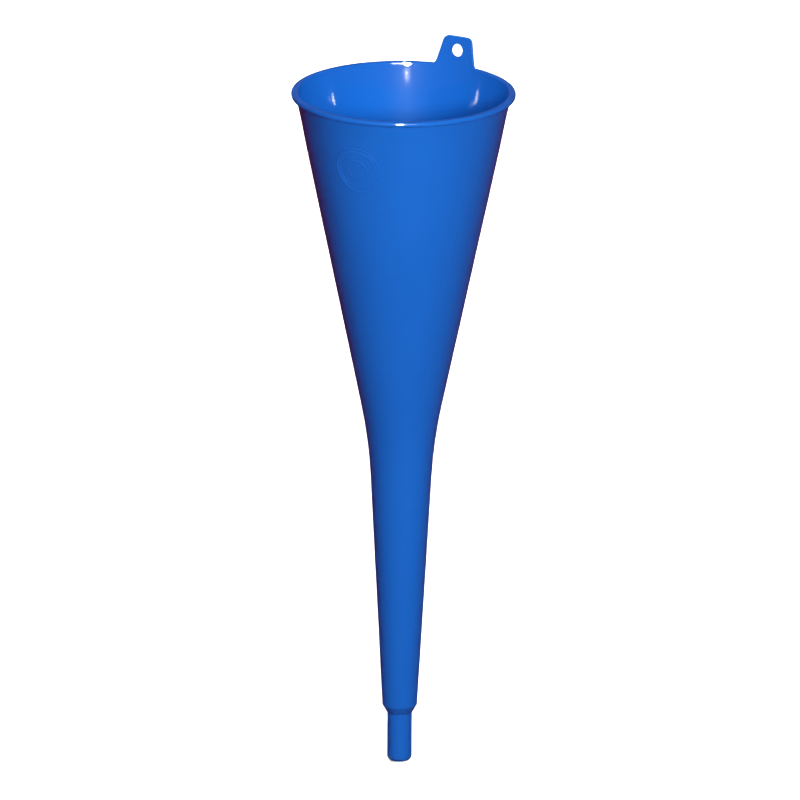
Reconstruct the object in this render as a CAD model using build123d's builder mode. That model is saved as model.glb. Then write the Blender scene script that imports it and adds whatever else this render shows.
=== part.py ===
from build123d import *
from math import atan, cos, sin
import os

# Long-necked fuel funnel with a push-in spout tip and a lift-out strainer.
#
# The funnel stands on its axis: +Z runs from the mouth of the spout tip up to the bowl's rim,
# and the origin is the centre of that mouth. The hang tab is on the +Y side. Millimetres.

# ---------------------------------------------------------------- driving dimensions
# Whole funnel
overall_length = 356.0          # mouth of the tip to the top of the rim
wall = 1.6                      # moulded wall of the bowl and neck

# Bowl and rim
bowl_diameter = 109.2           # outside of the wall, just under the rim
rim_overhang = 2.4              # how far the rim bead stands out from the wall
rim_height = 2.7
rim_round = 1.2                 # bead corners, less on a thinner rim
rim_inner_round = 0.8           # inner lip of the rim

# Throat, where the bowl's cone turns into the neck's cone
throat_height = 171.5           # where the two outer cones would meet
throat_diameter = 33.4
throat_blend_radius = 255.0

# Neck end
neck_end_diameter = 17.8
shoulder_height = 4.3           # slanted shoulder above the spout tip
shoulder_foot = 0.15            # how far the shoulder's foot stands outside the tip
shoulder_round = 0.9

# Spout tip
tip_length = 25.5               # the part that shows below the shoulder
tip_diameter = 12.6
tip_bore_diameter = 7.6
nose_round = 2.3                # less on a thinner nozzle
spigot_length = 14.0
spigot_step = 0.7               # how far the spigot steps in from the tip's outside
spigot_clearance = 0.05         # radial, a push fit
spigot_relief = 0.5             # free length above the spigot's end
spigot_lead_in = 0.8

# Hang tab
tab_height = 14.8               # above the rim
tab_top_width = 15.8
tab_root_width = 23.2
tab_top_round = 3.4
tab_root_round = 4.5
tab_root_sink = 0.9             # how far the root rounds start below the rim's top
hang_hole_diameter = 6.5
hang_hole_height = 7.7          # its centre, above the rim

# Strainer, a ring that drops onto the bowl's cone, with gauze across its foot
seat_height = 204.0             # underside of the ring
seat_clearance = 0.3            # between the ring and the bowl, square to the wall
ring_height = 12.0
ring_wall = 1.6
ring_top_round = 0.6
flange_width = 3.0
flange_thickness = 1.5
spoke_width = 1.8
spoke_count = 6
gauze_thickness = 0.5
gauze_clearance = 0.15          # between the gauze and the ring, and under the lip
lip_radius = 0.5                # half-round lip that keeps the gauze down
grip_width = 11.0
grip_height = 24.0              # above the ring
grip_thickness = 1.8
grip_top_round = 3.5
grip_root_depth = 4.5           # how far the grip reaches down inside the ring
grip_root_overlap = 0.3
ridge_count = 3
ridge_radius = 0.5
ridge_pitch = 3.0
ridge_margin = 3.0              # from the grip's top to its first ridge

# ---------------------------------------------------------------- derived sizes
bowl_radius = bowl_diameter / 2
rim_radius = bowl_radius + rim_overhang
throat_radius = throat_diameter / 2
neck_end_radius = neck_end_diameter / 2
tip_radius = tip_diameter / 2
tip_bore_radius = tip_bore_diameter / 2
spigot_radius = tip_radius - spigot_step
socket_radius = spigot_radius + spigot_clearance
neck_end_height = tip_length + shoulder_height
rim_foot_height = overall_length - rim_height
bead_round = min(rim_round, 0.45 * rim_height)
mouth_round = min(nose_round, 0.92 * (tip_radius - tip_bore_radius))

bowl_slope = (bowl_radius - throat_radius) / (rim_foot_height - throat_height)
neck_slope = (throat_radius - neck_end_radius) / (throat_height - neck_end_height)
bowl_angle = atan(bowl_slope)
neck_angle = atan(neck_slope)


def bowl_inside(height):
    """Radius of the bowl's inner cone at a height."""
    outside = throat_radius + bowl_slope * (height - throat_height)
    return outside - wall / cos(bowl_angle)


def neck_inside(height):
    """Radius of the neck's inner cone at a height."""
    outside = neck_end_radius + neck_slope * (height - neck_end_height)
    return outside - wall / cos(neck_angle)


def inner_throat_height():
    """Height where the two inner cones meet."""
    gap_at_throat = neck_inside(throat_height) - bowl_inside(throat_height)
    return throat_height + gap_at_throat / (bowl_slope - neck_slope)


def ring_outside(height):
    """Radius of the strainer ring's outer cone at a height."""
    return bowl_inside(height) - seat_clearance / cos(bowl_angle)


def ring_inside(height):
    """Radius of the strainer ring's inner cone at a height."""
    return ring_outside(height) - ring_wall / cos(bowl_angle)


def corner_near(sketch, place):
    """The corner of a sketch that is nearest to a place in its plane."""
    return sketch.vertices().sort_by_distance(place)[0]


# ---------------------------------------------------------------- hang tab
# The bowl's wall carried on above the rim, and cut to the tab's outline.
tab_top = overall_length + tab_height
tab_foot = rim_foot_height + rim_height / 3
tab_root_height = overall_length - tab_root_sink
hole_centre_height = overall_length + hang_hole_height
hole_centre_radius = bowl_inside(hole_centre_height) + wall / cos(bowl_angle) / 2
hole_plane = Plane(
    origin=(0, hole_centre_radius, hole_centre_height),
    x_dir=(1, 0, 0),
    z_dir=(0, cos(bowl_angle), -sin(bowl_angle)),
)
tab_reach = rim_radius + tab_height

with BuildPart() as hang_tab:
    with BuildSketch(Plane.XZ):
        with BuildLine():
            Polyline(
                (bowl_inside(tab_foot), tab_foot),
                (bowl_inside(tab_foot) + wall / cos(bowl_angle), tab_foot),
                (bowl_inside(tab_top) + wall / cos(bowl_angle), tab_top),
                (bowl_inside(tab_top), tab_top),
                close=True,
            )
        make_face()
    revolve(axis=Axis.Z)
    with BuildSketch(Plane.XZ) as tab_outline:
        with BuildLine():
            Polyline(
                (-tab_root_width, tab_foot),
                (tab_root_width, tab_foot),
                (tab_root_width, tab_root_height),
                (tab_root_width / 2, tab_root_height),
                (tab_top_width / 2, tab_top),
                (-tab_top_width / 2, tab_top),
                (-tab_root_width / 2, tab_root_height),
                (-tab_root_width, tab_root_height),
                close=True,
            )
        make_face()
        root_corners = [
            corner
            for corner in tab_outline.vertices().group_by(Axis.Y)[1]
            if abs(corner.X) < tab_root_width * 0.75
        ]
        fillet(root_corners, tab_root_round)
        fillet(tab_outline.vertices().group_by(Axis.Y)[-1], tab_top_round)
    extrude(amount=-tab_reach, mode=Mode.INTERSECT)
    with BuildSketch(hole_plane):
        Circle(hang_hole_diameter / 2)
    extrude(amount=2 * wall, both=True, mode=Mode.SUBTRACT)

# ---------------------------------------------------------------- funnel body
# Bowl, rim bead, hang tab and neck in one moulding. Its wall is one section turned about Z.
socket_top = tip_length + spigot_length + spigot_relief
bore_mouth_height = socket_top + (neck_inside(socket_top) - socket_radius)
inner_throat = (bowl_inside(inner_throat_height()), inner_throat_height())

with BuildPart() as funnel_body:
    with BuildSketch(Plane.XZ) as body_wall:
        with BuildLine():
            Polyline(
                (socket_radius, tip_length),
                (tip_radius + shoulder_foot, tip_length),
                (neck_end_radius, neck_end_height),
                (throat_radius, throat_height),
                (bowl_radius, rim_foot_height),
                (rim_radius, rim_foot_height),
                (rim_radius, overall_length),
                (bowl_inside(overall_length), overall_length),
                inner_throat,
                (neck_inside(bore_mouth_height), bore_mouth_height),
                (socket_radius, socket_top),
                close=True,
            )
        make_face()
        fillet(corner_near(body_wall, (throat_radius, throat_height)), throat_blend_radius)
        fillet(corner_near(body_wall, inner_throat), throat_blend_radius + wall)
        fillet(corner_near(body_wall, (neck_end_radius, neck_end_height)), shoulder_round)
        fillet(corner_near(body_wall, (bowl_inside(overall_length), overall_length)), rim_inner_round)
        fillet(body_wall.vertices().group_by(Axis.X)[-1], bead_round)
    revolve(axis=Axis.Z)
    add(hang_tab.part)

# ---------------------------------------------------------------- spout tip
# A thick-walled nozzle with a rounded nose. Its spigot pushes up into the neck's end.
spigot_top = tip_length + spigot_length

with BuildPart() as spout_tip:
    with BuildSketch(Plane.XZ) as tip_wall:
        with BuildLine():
            Polyline(
                (tip_bore_radius, 0),
                (tip_radius, 0),
                (tip_radius, tip_length),
                (spigot_radius, tip_length),
                (spigot_radius, spigot_top),
                (tip_bore_radius + spigot_lead_in, spigot_top),
                (tip_bore_radius, spigot_top - spigot_lead_in),
                close=True,
            )
        make_face()
        fillet(corner_near(tip_wall, (tip_radius, 0)), mouth_round)
    revolve(axis=Axis.Z)

# ---------------------------------------------------------------- strainer frame
# A tapered ring with a foot flange, spokes under the gauze and a grip to lift it out by.
ring_top = seat_height + ring_height
flange_top = seat_height + flange_thickness
flange_inside = ring_inside(seat_height) - flange_width
gauze_top = flange_top + gauze_thickness
lip_height = gauze_top + gauze_clearance + lip_radius

# The grip is a curved plate that rises from the ring's inner face, ridged towards the axis.
grip_top = ring_top + grip_height
grip_foot = ring_top - grip_root_depth
grip_outer_radius = ring_inside(ring_top) + grip_root_overlap
grip_inner_radius = grip_outer_radius - grip_thickness

with BuildPart() as strainer_grip:
    with BuildSketch(Plane.XZ):
        with Locations(((grip_inner_radius + grip_outer_radius) / 2, (grip_foot + grip_top) / 2)):
            Rectangle(grip_thickness, grip_top - grip_foot)
        for ridge in range(ridge_count):
            with Locations((grip_inner_radius, grip_top - ridge_margin - ridge * ridge_pitch)):
                Circle(ridge_radius)
    revolve(axis=Axis.Z)
    with BuildSketch(Plane.XZ) as grip_outline:
        with Locations((0, (grip_foot + grip_top) / 2)):
            Rectangle(grip_width, grip_top - grip_foot)
        fillet(grip_outline.vertices().group_by(Axis.Y)[-1], grip_top_round)
    extrude(amount=-2 * grip_outer_radius, mode=Mode.INTERSECT)

with BuildPart() as strainer_frame:
    with BuildSketch(Plane.XZ) as ring_section:
        with BuildLine():
            Polyline(
                (flange_inside, seat_height),
                (ring_outside(seat_height), seat_height),
                (ring_outside(ring_top), ring_top),
                (ring_inside(ring_top), ring_top),
                (ring_inside(flange_top), flange_top),
                (flange_inside, flange_top),
                close=True,
            )
        make_face()
        fillet(ring_section.vertices().group_by(Axis.Y)[-1], ring_top_round)
        with Locations((ring_inside(lip_height), lip_height)):
            Circle(lip_radius)
    revolve(axis=Axis.Z)
    with BuildSketch(Plane.XY.offset(seat_height)):
        for turn in range(spoke_count // 2):
            spoke_angle = 360 / spoke_count * turn
            Rectangle(2 * flange_inside + flange_width, spoke_width, rotation=spoke_angle)
    extrude(amount=flange_thickness)
    add(strainer_grip.part)

# ---------------------------------------------------------------- strainer gauze
# Woven gauze disc, kept between the ring's flange and its lip.
with BuildPart() as strainer_gauze:
    with BuildSketch(Plane.XY.offset(flange_top)):
        Circle(ring_inside(flange_top) - gauze_clearance)
    extrude(amount=gauze_thickness)

# ---------------------------------------------------------------- export
os.makedirs("parts", exist_ok=True)

funnel_body.part.label = "funnel_body"
export_step(funnel_body.part, "parts/funnel_body.step")

spout_tip.part.label = "spout_tip"
export_step(spout_tip.part, "parts/spout_tip.step")

strainer_frame.part.label = "strainer_frame"
export_step(strainer_frame.part, "parts/strainer_frame.step")

strainer_gauze.part.label = "strainer_gauze"
export_step(strainer_gauze.part, "parts/strainer_gauze.step")
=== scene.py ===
"""Long-necked fuel funnel: the visual model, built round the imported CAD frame. Metres."""
from math import atan, cos, exp, hypot, pi, radians, sin, sqrt, tan

import bmesh
import bpy
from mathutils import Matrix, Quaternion, Vector, noise


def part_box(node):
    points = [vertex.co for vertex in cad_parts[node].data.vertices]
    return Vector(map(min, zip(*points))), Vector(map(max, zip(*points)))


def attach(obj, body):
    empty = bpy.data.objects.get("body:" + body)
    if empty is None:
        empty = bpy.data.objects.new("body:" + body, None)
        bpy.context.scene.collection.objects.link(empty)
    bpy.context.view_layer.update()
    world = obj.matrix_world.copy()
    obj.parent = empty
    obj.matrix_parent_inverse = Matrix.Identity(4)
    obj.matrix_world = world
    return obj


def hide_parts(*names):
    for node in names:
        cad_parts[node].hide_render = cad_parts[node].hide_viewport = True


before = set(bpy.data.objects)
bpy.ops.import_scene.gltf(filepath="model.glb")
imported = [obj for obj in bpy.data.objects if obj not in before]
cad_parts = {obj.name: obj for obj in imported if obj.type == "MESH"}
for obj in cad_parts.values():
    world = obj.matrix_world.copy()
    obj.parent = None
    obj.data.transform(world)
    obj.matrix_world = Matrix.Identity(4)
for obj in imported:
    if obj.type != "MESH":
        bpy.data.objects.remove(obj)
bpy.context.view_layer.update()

MM = 0.001

# ---------------------------------------------------------------- sizes
# Heights and widths come from the frame's boxes. The rest are the CAD model's dimensions.
body_low, body_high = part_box("funnel_body")
tip_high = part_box("spout_tip")[1]
gauze_low, gauze_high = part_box("strainer_gauze")

TAB_HEIGHT = 14.8 * MM
WALL = 1.6 * MM
RIM_HEIGHT = 2.7 * MM
RIM_OVERHANG = 2.4 * MM
BEAD_ROUND = 1.2 * MM
LIP_ROUND = 0.8 * MM
RIM_TOP = body_high.z - TAB_HEIGHT
RIM_RADIUS = body_high.x
BOWL_RADIUS = RIM_RADIUS - RIM_OVERHANG       # outside, just under the rim bead
RIM_FOOT = RIM_TOP - RIM_HEIGHT

THROAT_HEIGHT = 171.5 * MM
THROAT_RADIUS = 16.7 * MM
THROAT_BLEND = 255.0 * MM

NECK_END_RADIUS = 8.9 * MM
SHOULDER_HEIGHT = 4.3 * MM
SHOULDER_ROUND = 0.9 * MM
SHOULDER_FOOT = 0.15 * MM        # the shoulder ends this far outside the tip
TIP_LENGTH = body_low.z
TIP_RADIUS = tip_high.x
TIP_BORE = 3.8 * MM
NOSE_ROUND = 2.3 * MM
SPIGOT_RADIUS = 5.6 * MM
SOCKET_CLEARANCE = 0.05 * MM
SPIGOT_RELIEF = 0.5 * MM         # gap over the spigot's end
SPIGOT_LEAD_IN = 0.8 * MM
SEAM_ROUND = 0.25 * MM           # softens the edges at the joint of body and tip

NECK_END_HEIGHT = TIP_LENGTH + SHOULDER_HEIGHT
BOWL_SLOPE = (BOWL_RADIUS - THROAT_RADIUS) / (RIM_FOOT - THROAT_HEIGHT)
NECK_SLOPE = (THROAT_RADIUS - NECK_END_RADIUS) / (THROAT_HEIGHT - NECK_END_HEIGHT)
BOWL_ANGLE = atan(BOWL_SLOPE)
NECK_ANGLE = atan(NECK_SLOPE)


def bowl_outside(height):
    """Radius of the bowl's outer cone at a height."""
    return THROAT_RADIUS + BOWL_SLOPE * (height - THROAT_HEIGHT)


def bowl_inside(height):
    """Radius of the bowl's inner cone at a height."""
    return bowl_outside(height) - WALL / cos(BOWL_ANGLE)


def neck_inside(height):
    """Radius of the neck's inner cone at a height."""
    outside = NECK_END_RADIUS + NECK_SLOPE * (height - NECK_END_HEIGHT)
    return outside - WALL / cos(NECK_ANGLE)


# ---------------------------------------------------------------- the photograph's view
VIEW_AZIMUTH = radians(29.3)
VIEW_ELEVATION = radians(17.33)
VIEW_ROLL = radians(0.35)
VIEW_DISTANCE = 9.0
VIEW_CENTRE = Vector((0, 0, 0.1924))
VIEW_ASIDE = 0.8 * MM            # the funnel stands this far right of the picture's middle
FRAME_HEIGHT = 0.4070            # what the picture takes in, at the funnel
CAMERA_REACH = 40.0              # far enough for the floor's far edge


# ---------------------------------------------------------------- outlines and meshes
ARC_STEP = radians(7.5)          # turn between the points of a rounded corner
LEAST_ARC_STEPS = 4
SHARP_ANGLE = radians(35)        # edges that turn more than this stay sharp
BAR_SIDES = 8
RIPPLE_LENGTH = 22 * MM          # size of the moulding's slow waves
WAIST_HEIGHT = 343.5 * MM        # where the wall has shrunk inwards, a little under the rim
WAIST_LENGTH = 9 * MM
WAIST_SHARE = 4.5                # depth of the waist, in heights of a wave


def corner_arc(before, corner, after, radius):
    """Points of the arc that rounds one corner of an outline."""
    a = (Vector(before) - Vector(corner)).normalized()
    b = (Vector(after) - Vector(corner)).normalized()
    half = a.angle(b) / 2
    start = Vector(corner) + a * (radius / tan(half))
    centre = Vector(corner) + (a + b).normalized() * (radius / sin(half))
    spoke = start - centre
    turn = pi - 2 * half
    side = 1 if spoke.y * a.x - spoke.x * a.y > 0 else -1
    steps = max(LEAST_ARC_STEPS, round(turn / ARC_STEP))
    points = []
    for step in range(steps + 1):
        angle = side * turn * step / steps
        points.append((
            centre.x + spoke.x * cos(angle) - spoke.y * sin(angle),
            centre.y + spoke.x * sin(angle) + spoke.y * cos(angle),
        ))
    return points


def rounded_outline(corners):
    """A closed outline from (x, y, radius) corners."""
    points = []
    for index, (x, y, radius) in enumerate(corners):
        before = corners[index - 1][:2]
        after = corners[(index + 1) % len(corners)][:2]
        if radius:
            points.extend(corner_arc(before, (x, y), after, radius))
        else:
            points.append((x, y))
    return points


def divided(points, step):
    """The closed outline with its long sides divided into steps of about a given length."""
    result = []
    for index, start in enumerate(points):
        end = points[(index + 1) % len(points)]
        parts = max(1, round(hypot(end[0] - start[0], end[1] - start[1]) / step))
        for part in range(parts):
            share = part / parts
            result.append((
                start[0] + (end[0] - start[0]) * share,
                start[1] + (end[1] - start[1]) * share,
            ))
    return result


def shade(mesh):
    """Smooth shading, with the sharp edges kept."""
    mesh.shade_smooth()
    mesh.set_sharp_from_angle(angle=SHARP_ANGLE)


def new_object(name, vertices, faces):
    """A smooth-shaded mesh object."""
    mesh = bpy.data.meshes.new(name)
    mesh.from_pydata(vertices, [], faces)
    mesh.validate()
    shade(mesh)
    obj = bpy.data.objects.new(name, mesh)
    bpy.context.scene.collection.objects.link(obj)
    return obj


def closed_grid(rows, columns):
    """Faces of a grid of vertices that closes on itself both ways."""
    faces = []
    for row in range(rows):
        below = (row + 1) % rows
        for column in range(columns):
            right = (column + 1) % columns
            faces.append((
                row * columns + column,
                row * columns + right,
                below * columns + right,
                below * columns + column,
            ))
    return faces


def rippled(place, height):
    """A place moved outwards or inwards by the moulding's slow waves and its shrinkage waist."""
    outwards = Vector((place.x, place.y, 0)).normalized()
    wave = noise.noise(place / RIPPLE_LENGTH) * height
    waist = height * WAIST_SHARE * exp(-((place.z - WAIST_HEIGHT) / WAIST_LENGTH) ** 2)
    return place + outwards * (wave - waist)


def lathe(name, section, segments, ripple=0.0):
    """A closed section turned about Z. ripple is the height of the moulding's slow waves."""
    vertices = []
    for radius, height in section:
        for segment in range(segments):
            angle = 2 * pi * segment / segments
            place = Vector((cos(angle) * radius, sin(angle) * radius, height))
            vertices.append(rippled(place, ripple))
    return new_object(name, vertices, closed_grid(len(section), segments))


def tube(vertices, faces, path, normals, radius, closed):
    """Adds a round bar along a path to a mesh's lists. normals point to the path's upper side."""
    start = len(vertices)
    count = len(path)
    for index, (place, normal) in enumerate(zip(path, normals)):
        before = path[index - 1] if closed else path[max(index - 1, 0)]
        after = path[(index + 1) % count] if closed else path[min(index + 1, count - 1)]
        across = (after - before).cross(normal).normalized()
        lift = across.cross(after - before).normalized()
        for side in range(BAR_SIDES):
            angle = 2 * pi * side / BAR_SIDES
            vertices.append(place + (across * cos(angle) + lift * sin(angle)) * radius)
    for index in range(count if closed else count - 1):
        ring = start + index * BAR_SIDES
        following = start + (index + 1) % count * BAR_SIDES
        for side in range(BAR_SIDES):
            nearby = (side + 1) % BAR_SIDES
            faces.append((ring + side, ring + nearby, following + nearby, following + side))
    if not closed:
        faces.append(tuple(start + side for side in reversed(range(BAR_SIDES))))
        last = start + (count - 1) * BAR_SIDES
        faces.append(tuple(last + side for side in range(BAR_SIDES)))


def outward(obj):
    """Turns every face of a closed mesh outwards."""
    shape = bmesh.new()
    shape.from_mesh(obj.data)
    bmesh.ops.recalc_face_normals(shape, faces=shape.faces)
    shape.to_mesh(obj.data)
    shape.free()
    return obj


# ---------------------------------------------------------------- funnel body
BODY_SEGMENTS = 240
BODY_RIPPLE = 0.06 * MM          # height of a wave
BODY_STEP = 2.0 * MM             # about the length of a side of the section


def body_section():
    """Wall of the neck, bowl and rim bead, as (radius, height) points."""
    socket = SPIGOT_RADIUS + SOCKET_CLEARANCE
    socket_top = tip_high.z + SPIGOT_RELIEF
    bore_mouth = socket_top + neck_inside(socket_top) - socket
    gap = neck_inside(THROAT_HEIGHT) - bowl_inside(THROAT_HEIGHT)
    inner_throat = THROAT_HEIGHT + gap / (BOWL_SLOPE - NECK_SLOPE)
    corners = [
        (socket, TIP_LENGTH, 0),
        (TIP_RADIUS + SHOULDER_FOOT, TIP_LENGTH, SEAM_ROUND),
        (NECK_END_RADIUS, NECK_END_HEIGHT, SHOULDER_ROUND),
        (THROAT_RADIUS, THROAT_HEIGHT, THROAT_BLEND),
        (BOWL_RADIUS, RIM_FOOT, 0),
        (RIM_RADIUS, RIM_FOOT, BEAD_ROUND),
        (RIM_RADIUS, RIM_TOP, BEAD_ROUND),
        (bowl_inside(RIM_TOP), RIM_TOP, LIP_ROUND),
        (bowl_inside(inner_throat), inner_throat, THROAT_BLEND + WALL),
        (neck_inside(bore_mouth), bore_mouth, 0),
        (socket, socket_top, 0),
    ]
    return divided(rounded_outline(corners), BODY_STEP)


# ---------------------------------------------------------------- hang tab
TAB_TOP_WIDTH = 15.8 * MM
TAB_ROOT_WIDTH = 23.2 * MM
TAB_TOP_ROUND = 3.4 * MM
TAB_ROOT_ROUND = 4.5 * MM
TAB_ROOT_SINK = 0.9 * MM         # how far below the rim's top the root rounds run out
TAB_FOOT = 0.2 * MM              # the hidden foot stays this far above the bead's underside
TAB_FOOT_SHARE = 0.9             # half width of the hidden foot, as a share of the root's width
TAB_EDGE_ROUND = 0.6 * MM
HOLE_EDGE_ROUND = 0.15 * MM
TAB_EDGE_STEPS = 5
TAB_POINT_STEP = 0.6 * MM
TAB_SLICE = 1.2 * MM
TAB_SKIN = 0.006 * MM            # keeps the tab's inner face off the bowl's
HOLE_RADIUS = 3.25 * MM
HOLE_HEIGHT = 7.7 * MM
HOLE_POINTS = 48


def tab_outline():
    """The tab's outline as seen along Y, counter-clockwise (x, z) points."""
    top = RIM_TOP + TAB_HEIGHT
    root = RIM_TOP - TAB_ROOT_SINK
    foot = RIM_FOOT + TAB_FOOT
    foot_half = TAB_ROOT_WIDTH * TAB_FOOT_SHARE
    half = [
        (foot_half, foot, 0),
        (foot_half, root, 0),
        (TAB_ROOT_WIDTH / 2, root, TAB_ROOT_ROUND),
        (TAB_TOP_WIDTH / 2, top, TAB_TOP_ROUND),
    ]
    other_half = [(-x, z, round_off) for x, z, round_off in reversed(half)]
    outline = divided(rounded_outline(half + other_half), TAB_POINT_STEP)
    return [Vector(point) for point in outline]


def hole_outline():
    """The hang hole as seen along Y, clockwise (x, z) points."""
    centre = Vector((0, RIM_TOP + HOLE_HEIGHT))
    angles = [-2 * pi * point / HOLE_POINTS for point in range(HOLE_POINTS)]
    return [centre + Vector((cos(angle), sin(angle))) * HOLE_RADIUS for angle in angles]


def rounded_edge(shape, outline, round_off):
    """A band over one edge of the flat tab, from face to face. Returns its two end loops."""
    normals = []
    for index, point in enumerate(outline):
        along = outline[(index + 1) % len(outline)] - outline[index - 1]
        normals.append(Vector((-along.y, along.x)).normalized())
    quarter = [pi / 2 * step / TAB_EDGE_STEPS for step in range(TAB_EDGE_STEPS + 1)]
    near = [(1 - sin(angle), 1 - cos(angle)) for angle in quarter]
    turns = [(inset * round_off, depth * round_off) for inset, depth in near]
    turns += [(inset, WALL - depth) for inset, depth in reversed(turns)]
    loops = []
    for inset, depth in turns:
        places = [point + normal * inset for point, normal in zip(outline, normals)]
        loops.append([shape.verts.new((place.x, depth, place.y)) for place in places])
    for loop, following in zip(loops, loops[1:]):
        for index in range(len(loop)):
            shape.faces.new((loop[index - 1], loop[index], following[index], following[index - 1]))
    return loops[0], loops[-1]


def edges_round(loop):
    """The edges along a closed loop of vertices."""
    edges = []
    for index, vertex in enumerate(loop):
        for edge in vertex.link_edges:
            if edge.other_vert(vertex) is loop[index - 1]:
                edges.append(edge)
    return edges


def slice_flat(shape, lengthwise, start, end):
    """Cuts a mesh across at equal steps, so that it bends smoothly."""
    for step in range(1, int((end - start) / TAB_SLICE)):
        geometry = shape.verts[:] + shape.edges[:] + shape.faces[:]
        place = lengthwise * (start + step * TAB_SLICE)
        bmesh.ops.bisect_plane(shape, geom=geometry, plane_co=place, plane_no=lengthwise)


def build_tab():
    """The hang tab: the bowl's wall carried on upwards, with rounded edges and a hole."""
    shape = bmesh.new()
    rim_ends = rounded_edge(shape, tab_outline(), TAB_EDGE_ROUND)
    hole_ends = rounded_edge(shape, hole_outline(), HOLE_EDGE_ROUND)
    for rim_loop, hole_loop in zip(rim_ends, hole_ends):
        edges = edges_round(rim_loop) + edges_round(hole_loop)
        bmesh.ops.triangle_fill(shape, edges=edges, use_beauty=True)
    slice_flat(shape, Vector((1, 0, 0)), -TAB_ROOT_WIDTH, TAB_ROOT_WIDTH)
    slice_flat(shape, Vector((0, 0, 1)), RIM_FOOT, RIM_TOP + TAB_HEIGHT)
    for vertex in shape.verts:
        x, depth, z = vertex.co
        radius = bowl_inside(z) + max(depth, TAB_SKIN) / cos(BOWL_ANGLE)
        vertex.co = rippled(Vector((x, sqrt(radius ** 2 - x ** 2), z)), BODY_RIPPLE)
    mesh = bpy.data.meshes.new("hang_tab")
    shape.to_mesh(mesh)
    shape.free()
    tab = bpy.data.objects.new("hang_tab", mesh)
    bpy.context.scene.collection.objects.link(tab)
    return tab


def united(first, second):
    """One object from two closed ones."""
    joiner = first.modifiers.new("join", "BOOLEAN")
    joiner.operation = "UNION"
    joiner.solver = "EXACT"
    joiner.object = second
    graph = bpy.context.evaluated_depsgraph_get()
    mesh = bpy.data.meshes.new_from_object(first.evaluated_get(graph))
    first.modifiers.clear()
    first.data = mesh
    bpy.data.objects.remove(second)
    shade(mesh)
    return first


def build_body():
    """Bowl, neck, rim bead and hang tab in one skin."""
    shell = outward(lathe("funnel_shell", body_section(), BODY_SEGMENTS, BODY_RIPPLE))
    tab = outward(build_tab())
    return united(shell, tab)


# ---------------------------------------------------------------- raised roundel
ROUNDEL_HEIGHT = 327 * MM
ROUNDEL_TURN = radians(-28)      # from the camera's side
ROUNDEL_RADII = (12.0 * MM, 10.2 * MM, 5.2 * MM)
ROUNDEL_BAR = 0.45 * MM          # radius of a ridge
ROUNDEL_SINK = 0.22 * MM         # how deep a ridge's middle lies in the wall
ROUNDEL_POINTS = 120


def build_roundel():
    """Three plain concentric ridges on the bowl, in place of the mark in the photograph."""
    vertices, faces = [], []
    reach = bowl_outside(ROUNDEL_HEIGHT)
    for radius in ROUNDEL_RADII:
        path, normals = [], []
        for point in range(ROUNDEL_POINTS):
            angle = 2 * pi * point / ROUNDEL_POINTS
            height = ROUNDEL_HEIGHT + radius * sin(angle) * cos(BOWL_ANGLE)
            turn = VIEW_AZIMUTH + ROUNDEL_TURN + radius * cos(angle) / reach
            outwards = Vector((sin(turn), -cos(turn), 0))
            normal = outwards * cos(BOWL_ANGLE) - Vector((0, 0, sin(BOWL_ANGLE)))
            surface = outwards * bowl_outside(height) + Vector((0, 0, height))
            path.append(rippled(surface, BODY_RIPPLE) - normal * ROUNDEL_SINK)
            normals.append(normal)
        tube(vertices, faces, path, normals, ROUNDEL_BAR, True)
    return outward(new_object("raised_roundel", vertices, faces))


# ---------------------------------------------------------------- spout tip
TIP_SEGMENTS = 128
TIP_STEP = 2.0 * MM
NOSE_SHARE = 0.98                # leaves a narrow flat between the nose and the bore


def build_tip():
    """The round-nosed nozzle and its spigot."""
    corners = [
        (TIP_BORE, 0, SEAM_ROUND),
        (TIP_RADIUS, 0, NOSE_ROUND * NOSE_SHARE),
        (TIP_RADIUS, TIP_LENGTH, SEAM_ROUND),
        (SPIGOT_RADIUS, TIP_LENGTH, 0),
        (SPIGOT_RADIUS, tip_high.z, 0),
        (TIP_BORE + SPIGOT_LEAD_IN, tip_high.z, 0),
        (TIP_BORE, tip_high.z - SPIGOT_LEAD_IN, 0),
    ]
    section = divided(rounded_outline(corners), TIP_STEP)
    return outward(lathe("spout_nozzle", section, TIP_SEGMENTS))


# ---------------------------------------------------------------- strainer gauze
WIRE_PITCH = 0.95 * MM
WIRE_RADIUS = 0.12 * MM
WIRE_STEPS = 3                   # points along a wire for each half wave
WIRE_SWAY = WIRE_RADIUS * 0.95   # a little under the radius, so that crossing wires touch
WIRE_LEAST_STEPS = 4


def wire_path(start, run, half, side):
    """One wire of the weave, waving over and under the wires that cross it."""
    steps = max(WIRE_LEAST_STEPS, round(half / WIRE_PITCH) * 2 * WIRE_STEPS)
    path = []
    for step in range(steps + 1):
        along = half * (2 * step / steps - 1)
        sway = side * WIRE_SWAY * cos(pi * along / WIRE_PITCH)
        path.append(start + run * along + Vector((0, 0, sway)))
    return path


def build_gauze():
    """Plain-woven wire disc."""
    vertices, faces = [], []
    radius = gauze_high.x - WIRE_RADIUS
    middle = Vector((0, 0, (gauze_low.z + gauze_high.z) / 2))
    along_x = Vector((1, 0, 0))
    along_y = Vector((0, 1, 0))
    up = Vector((0, 0, 1))
    count = int(radius / WIRE_PITCH)
    for across, run, parity in ((along_x, along_y, 0), (along_y, along_x, 1)):
        for wire in range(-count, count + 1):
            offset = wire * WIRE_PITCH
            half = sqrt(radius ** 2 - offset ** 2)
            side = 1 if (wire + parity) % 2 else -1
            path = wire_path(middle + across * offset, run, half, side)
            tube(vertices, faces, path, [up] * len(path), WIRE_RADIUS, False)
    return outward(new_object("gauze_weave", vertices, faces))


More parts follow.
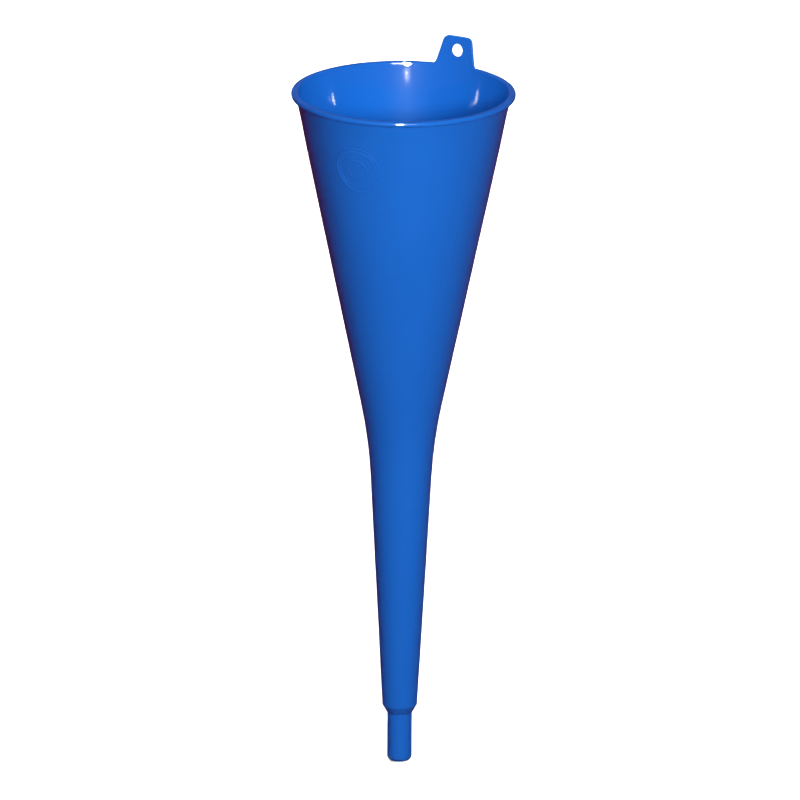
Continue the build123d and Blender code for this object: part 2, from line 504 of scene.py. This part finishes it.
# ---------------------------------------------------------------- materials
DEEP_BLUE = (0.0086, 0.134, 0.550)
MID_BLUE = (0.0102, 0.148, 0.595)
BLACK = (0.020, 0.021, 0.024)
WORN_BLACK = (0.034, 0.035, 0.039)
BRASS = (0.78, 0.55, 0.24)
DULL_BRASS = (0.50, 0.33, 0.13)
PALE_GREY = (0.90, 0.90, 0.90)
PALER_GREY = (0.92, 0.92, 0.92)


def new_material(name):
    """A material with its node tree and its Principled shader."""
    material = bpy.data.materials.new(name)
    material.use_nodes = True
    tree = material.node_tree
    return material, tree, tree.nodes["Principled BSDF"]


def noise_node(tree, scale, detail=2.0, stretch=(1, 1, 1)):
    """A noise texture in object space. scale is in waves per metre."""
    place = tree.nodes.new("ShaderNodeTexCoord")
    mapping = tree.nodes.new("ShaderNodeMapping")
    mapping.inputs["Scale"].default_value = stretch
    texture = tree.nodes.new("ShaderNodeTexNoise")
    texture.inputs["Scale"].default_value = scale
    texture.inputs["Detail"].default_value = detail
    tree.links.new(place.outputs["Object"], mapping.inputs["Vector"])
    tree.links.new(mapping.outputs["Vector"], texture.inputs["Vector"])
    return texture


def ranged(tree, source, low, high, from_low=0.3, from_high=0.7):
    """A source value spread over a new range."""
    node = tree.nodes.new("ShaderNodeMapRange")
    node.inputs["From Min"].default_value = from_low
    node.inputs["From Max"].default_value = from_high
    node.inputs["To Min"].default_value = low
    node.inputs["To Max"].default_value = high
    tree.links.new(source, node.inputs["Value"])
    return node.outputs["Result"]


def bumped(tree, shader, layers):
    """Chains bumps into the shader. Each layer is (height source, height in metres)."""
    normal = None
    for source, height in layers:
        bump = tree.nodes.new("ShaderNodeBump")
        bump.inputs["Strength"].default_value = 1.0
        bump.inputs["Distance"].default_value = height
        tree.links.new(source, bump.inputs["Height"])
        if normal:
            tree.links.new(normal, bump.inputs["Normal"])
        normal = bump.outputs["Normal"]
    tree.links.new(normal, shader.inputs["Normal"])


def blend_colours(tree, source, first, second):
    """A colour that goes from first to second with a source value."""
    node = tree.nodes.new("ShaderNodeMix")
    node.data_type = "RGBA"
    node.inputs["A"].default_value = (*first, 1)
    node.inputs["B"].default_value = (*second, 1)
    tree.links.new(source, node.inputs["Factor"])
    return node.outputs["Result"]


def blue_plastic():
    """Glossy injection-moulded polypropylene, mid blue, with faint flow marks and scuffs."""
    material, tree, shader = new_material("blue_polypropylene")
    flow = noise_node(tree, scale=28, detail=3.0, stretch=(1, 1, 0.25))
    grain = noise_node(tree, scale=350, detail=1.0)
    waves = noise_node(tree, scale=60, detail=1.0, stretch=(1, 1, 0.5))
    scuffs = noise_node(tree, scale=240, detail=4.0, stretch=(1, 1, 0.12))
    colour = blend_colours(tree, ranged(tree, flow.outputs["Fac"], 0, 1), DEEP_BLUE, MID_BLUE)
    gloss = ranged(tree, scuffs.outputs["Fac"], 0.03, 0.06, from_low=0.35, from_high=0.75)
    tree.links.new(colour, shader.inputs["Base Color"])
    tree.links.new(gloss, shader.inputs["Roughness"])
    bumped(tree, shader, [
        (waves.outputs["Fac"], 0.03 * MM),
        (grain.outputs["Fac"], 0.010 * MM),
    ])
    shader.inputs["IOR"].default_value = 1.49
    shader.inputs["Coat Weight"].default_value = 0.025
    shader.inputs["Coat Roughness"].default_value = 0.4
    return material


def black_nylon():
    """Satin moulded nylon with a fine spark-eroded grain."""
    material, tree, shader = new_material("black_nylon")
    tone = noise_node(tree, scale=90, detail=3.0)
    grain = noise_node(tree, scale=1600, detail=3.0)
    colour = blend_colours(tree, ranged(tree, tone.outputs["Fac"], 0, 1), BLACK, WORN_BLACK)
    tree.links.new(colour, shader.inputs["Base Color"])
    tree.links.new(ranged(tree, grain.outputs["Fac"], 0.38, 0.58), shader.inputs["Roughness"])
    bumped(tree, shader, [(grain.outputs["Fac"], 0.02 * MM)])
    return material


def brass_wire():
    """Drawn brass, dulled in patches."""
    material, tree, shader = new_material("brass_wire")
    dull = noise_node(tree, scale=160, detail=3.0)
    scratches = noise_node(tree, scale=4000, detail=1.0)
    colour = blend_colours(tree, ranged(tree, dull.outputs["Fac"], 0, 1), BRASS, DULL_BRASS)
    tree.links.new(colour, shader.inputs["Base Color"])
    tree.links.new(ranged(tree, dull.outputs["Fac"], 0.22, 0.45), shader.inputs["Roughness"])
    bumped(tree, shader, [(scratches.outputs["Fac"], 0.004 * MM)])
    shader.inputs["Metallic"].default_value = 1.0
    return material


def paint(obj, material):
    """Gives an object one material."""
    obj.data.materials.clear()
    obj.data.materials.append(material)


# ---------------------------------------------------------------- the pieces
def dress():
    """Makes every visible piece and hands it to its CAD body."""
    blue = blue_plastic()
    body = build_body()
    paint(body, blue)
    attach(body, "funnel")
    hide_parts("funnel_body")

    roundel = build_roundel()
    paint(roundel, blue)
    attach(roundel, "funnel")

    nozzle = build_tip()
    paint(nozzle, blue)
    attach(nozzle, "funnel")
    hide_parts("spout_tip")

    gauze = build_gauze()
    paint(gauze, brass_wire())
    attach(gauze, "strainer")
    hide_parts("strainer_gauze")

    paint(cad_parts["strainer_frame"], black_nylon())


# ---------------------------------------------------------------- camera, lights and floor
def around(azimuth, elevation, distance):
    """A place round the funnel: azimuth and elevation from the camera's side, in radians."""
    turn = VIEW_AZIMUTH + azimuth
    flat = cos(elevation) * distance
    return VIEW_CENTRE + Vector((sin(turn) * flat, -cos(turn) * flat, sin(elevation) * distance))


def aimed(obj, place, target=VIEW_CENTRE):
    """Puts an object into the scene, with its -Z turned to a target."""
    obj.location = place
    obj.rotation_mode = "QUATERNION"
    obj.rotation_quaternion = (target - place).to_track_quat("-Z", "Y")
    bpy.context.scene.collection.objects.link(obj)


def make_camera():
    """A long lens from the photograph's side, a little above the rim."""
    data = bpy.data.cameras.new("camera")
    data.sensor_width = 36.0
    data.lens = data.sensor_width * VIEW_DISTANCE / FRAME_HEIGHT
    data.clip_end = CAMERA_REACH
    camera = bpy.data.objects.new("camera", data)
    aside = Vector((cos(VIEW_AZIMUTH), sin(VIEW_AZIMUTH), 0)) * VIEW_ASIDE
    aimed(camera, around(0, VIEW_ELEVATION, VIEW_DISTANCE) - aside, VIEW_CENTRE - aside)
    roll = Quaternion((0, 0, 1), VIEW_ROLL)
    camera.rotation_quaternion = camera.rotation_quaternion @ roll
    bpy.context.scene.camera = camera


def make_light(name, azimuth, elevation, distance, size, power, in_gloss=True, in_diffuse=True):
    """A round soft box. Angles are in degrees from the photograph's side, power in watts."""
    data = bpy.data.lights.new(name, "AREA")
    data.shape = "DISK"
    data.size = size
    data.energy = power
    light = bpy.data.objects.new(name, data)
    light.visible_camera = False
    light.visible_glossy = in_gloss
    light.visible_diffuse = in_diffuse
    aimed(light, around(radians(azimuth), radians(elevation), distance))
    return light


SNOOT_HEIGHT = 1.3


def make_snoot():
    """A narrow beam straight down the funnel, which shows the strainer from above."""
    data = bpy.data.lights.new("snoot", "SPOT")
    data.energy = 50
    data.spot_size = radians(4.4)
    data.spot_blend = 0.6
    data.shadow_soft_size = 0.05
    light = bpy.data.objects.new("snoot", data)
    aimed(light, Vector((0, 0, SNOOT_HEIGHT)), Vector((0, 0, 0)))


FLOOR_HALF = 14.0
FLOOR_DROP = 0.5 * MM            # gap under the spout's nose


def make_floor():
    """A plain pale floor under the spout. It takes no part in the funnel's gloss or colour."""
    corners = [(-1, -1), (1, -1), (1, 1), (-1, 1)]
    places = [(x * FLOOR_HALF, y * FLOOR_HALF, 0) for x, y in corners]
    floor = new_object("floor", places, [(0, 1, 2, 3)])
    floor.location.z = -FLOOR_DROP
    material, tree, shader = new_material("pale_floor")
    speck = noise_node(tree, scale=6)
    colour = blend_colours(tree, ranged(tree, speck.outputs["Fac"], 0, 1), PALE_GREY, PALER_GREY)
    tree.links.new(colour, shader.inputs["Base Color"])
    shader.inputs["Roughness"].default_value = 0.9
    paint(floor, material)
    floor.visible_glossy = False
    floor.visible_diffuse = False
    return floor


def make_floor_light(floor):
    """Even light for the floor alone, which keeps it as pale as the surroundings."""
    data = bpy.data.lights.new("floor_light", "SUN")
    data.energy = 3.7
    data.angle = radians(60)
    light = bpy.data.objects.new("floor_light", data)
    bpy.context.scene.collection.objects.link(light)
    receivers = bpy.data.collections.new("floor_only")
    receivers.objects.link(floor)
    light.light_linking.receiver_collection = receivers


def make_world():
    """White to the camera, a dim warm room in the gloss, and faint blue light from all round."""
    world = bpy.data.worlds.new("studio")
    bpy.context.scene.world = world
    world.use_nodes = True
    tree = world.node_tree
    fill = tree.nodes["Background"]
    fill.inputs["Color"].default_value = (0.035, 0.03, 0.10, 1)
    room = tree.nodes.new("ShaderNodeBackground")
    room.inputs["Color"].default_value = (0.10, 0.006, 0.012, 1)
    seen = tree.nodes.new("ShaderNodeBackground")
    seen.inputs["Color"].default_value = (1, 1, 1, 1)
    path = tree.nodes.new("ShaderNodeLightPath")
    in_gloss = tree.nodes.new("ShaderNodeMixShader")
    tree.links.new(path.outputs["Is Glossy Ray"], in_gloss.inputs[0])
    tree.links.new(fill.outputs["Background"], in_gloss.inputs[1])
    tree.links.new(room.outputs["Background"], in_gloss.inputs[2])
    in_view = tree.nodes.new("ShaderNodeMixShader")
    tree.links.new(path.outputs["Is Camera Ray"], in_view.inputs[0])
    tree.links.new(in_gloss.outputs["Shader"], in_view.inputs[1])
    tree.links.new(seen.outputs["Background"], in_view.inputs[2])
    tree.links.new(in_view.outputs["Shader"], tree.nodes["World Output"].inputs["Surface"])


def make_set():
    """Camera, lights, floor and surroundings."""
    make_camera()
    # These three give the plastic its colour and leave no highlight.
    make_light("key", 8.5, 22.5, distance=1.4, size=0.25, power=20.9, in_gloss=False)
    make_light("back_key", 191, 22, distance=1.4, size=0.8, power=17, in_gloss=False)
    make_light("ceiling", 0, 88, distance=1.2, size=1.2, power=2, in_gloss=False)
    make_snoot()
    # These three show only as highlights: in the bowl and on the lip, along the rim, and at the
    # middle of the bowl's far wall.
    make_light("flash", -4, 19.5, distance=2.2, size=0.36, power=260, in_diffuse=False)
    strip = make_light("strip", 5, 18, distance=2.2, size=0.6, power=9, in_diffuse=False)
    strip.data.shape = "RECTANGLE"
    strip.data.size_y = 0.13
    make_light("window", 0.5, 7, distance=2.2, size=0.08, power=0.15, in_diffuse=False)
    make_floor_light(make_floor())
    make_world()
    bpy.context.scene.view_settings.view_transform = "Standard"


make_set()
dress()
